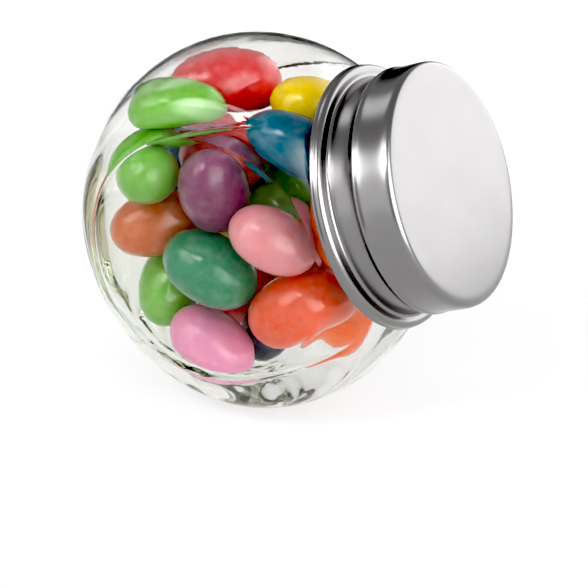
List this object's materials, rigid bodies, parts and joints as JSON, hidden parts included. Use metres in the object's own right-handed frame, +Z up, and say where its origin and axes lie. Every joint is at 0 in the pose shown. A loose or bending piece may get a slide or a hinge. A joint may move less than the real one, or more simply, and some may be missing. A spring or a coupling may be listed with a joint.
{
  "type": "jar of jelly beans",
  "caption": "Small round clear glass sweet jar with two flat sides and a tilted mouth, shut by a pressed steel lid and filled with jelly beans in mixed colours.",
  "frame": {"origin": "middle of the small flat spot that the round body rests on", "axes": "+Z is up; the jar's mouth points towards +X and 21 degrees above level; -Y is the front flat side, +Y the back flat side"},
  "size_m": [0.068, 0.041, 0.0593],
  "materials": {
    "clear_glass": "clear, smooth moulded soda-lime glass with a slight green tint in its thick base",
    "polished_steel": "bright pressed tinplate with a soft shine",
    "jelly_bean": "glazed sugar shells in mixed colours, slightly mottled, glossy"
  },
  "bodies": {
    "root": {"glass_jar": "clear_glass", "lid": "polished_steel", "jelly_beans": "jelly_bean"}
  },
  "joints": []
}
